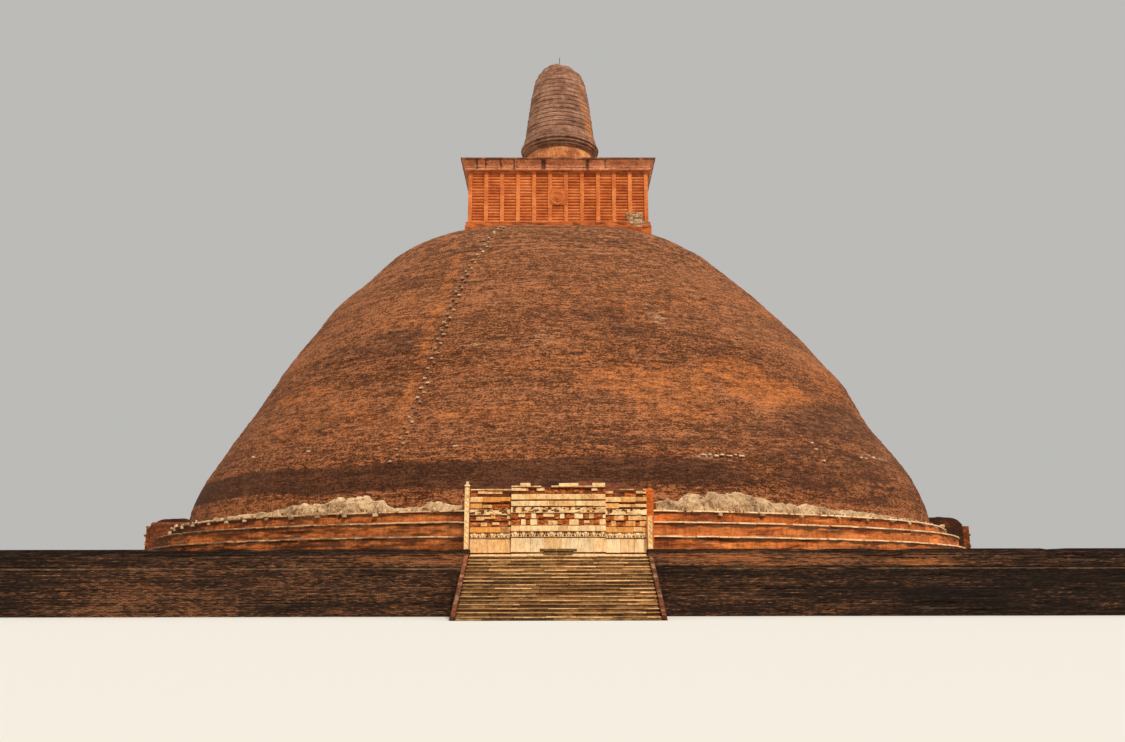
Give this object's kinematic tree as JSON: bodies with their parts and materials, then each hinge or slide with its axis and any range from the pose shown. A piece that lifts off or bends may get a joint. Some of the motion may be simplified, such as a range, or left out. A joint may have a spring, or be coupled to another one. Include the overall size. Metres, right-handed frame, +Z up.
{
  "type": "1:10 scale model of a great brick stupa on its square terrace",
  "caption": "Ringed spire and square chamber over a bell-shaped brick dome with round basal tiers, stone frontispieces and a walled terrace with stairs.",
  "frame": {"origin": "on the ground under the centre of the dome, at the middle of the square terrace", "axes": "+Z up through the spire; -Y towards the front stair and frontispiece of the picture; +X to the right as seen from the front"},
  "size_m": [17.508, 17.508, 8.095],
  "materials": {
    "dome_brick": "weathered red-brown brick with dark stains",
    "tier_brick": "orange brick courses with dark stains",
    "chamber_brick": "vivid orange-red brick",
    "spire_brick": "brown-grey brick ring courses",
    "terrace_brick": "dark weathered brick courses",
    "limestone": "cream limestone blocks with brick patches",
    "paving_stone": "pale grey-cream stone slabs",
    "stair_stone": "brown-yellow worn stone",
    "mortar": "grey-beige rough lime mortar and rubble",
    "altar_stone": "grey worn stone",
    "rod_metal": "dull dark metal"
  },
  "bodies": {
    "root": {"dome": "dome_brick", "platform_fill": "paving_stone", "basal_tier_lower": "tier_brick", "basal_tier_middle": "tier_brick", "basal_tier_upper": "tier_brick", "coping_lower": "paving_stone", "coping_middle": "paving_stone", "coping_upper": "paving_stone", "chamber_plinth": "chamber_brick", "chamber": "chamber_brick", "chamber_cornice": "chamber_brick", "spire_drum": "chamber_brick", "spire_ring_moulding": "spire_brick", "spire": "spire_brick", "lightning_rod": "rod_metal", "retaining_wall_front": "terrace_brick", "stair_front": "stair_stone", "frontispiece_facing_front": "limestone", "frontispiece_masonry_front": "tier_brick", "stele_left_front": "limestone", "stele_right_front": "limestone", "altar_front": "altar_stone", "retaining_wall_right": "terrace_brick", "stair_right": "stair_stone", "frontispiece_facing_right": "limestone", "frontispiece_masonry_right": "tier_brick", "stele_right_right": "limestone", "altar_right": "altar_stone", "retaining_wall_back": "terrace_brick", "stair_back": "stair_stone", "frontispiece_facing_back": "limestone", "frontispiece_masonry_back": "tier_brick", "stele_left_back": "limestone", "stele_right_back": "limestone", "altar_back": "altar_stone", "retaining_wall_left": "terrace_brick", "stair_left": "stair_stone", "frontispiece_facing_left": "limestone", "frontispiece_masonry_left": "tier_brick", "stele_left_left": "limestone", "altar_left": "altar_stone", "mortar_remains_front_left": "mortar", "mortar_remains_front_right": "mortar", "mortar_remains_back_left": "mortar", "mortar_remains_back_right": "mortar"}
  },
  "joints": []
}
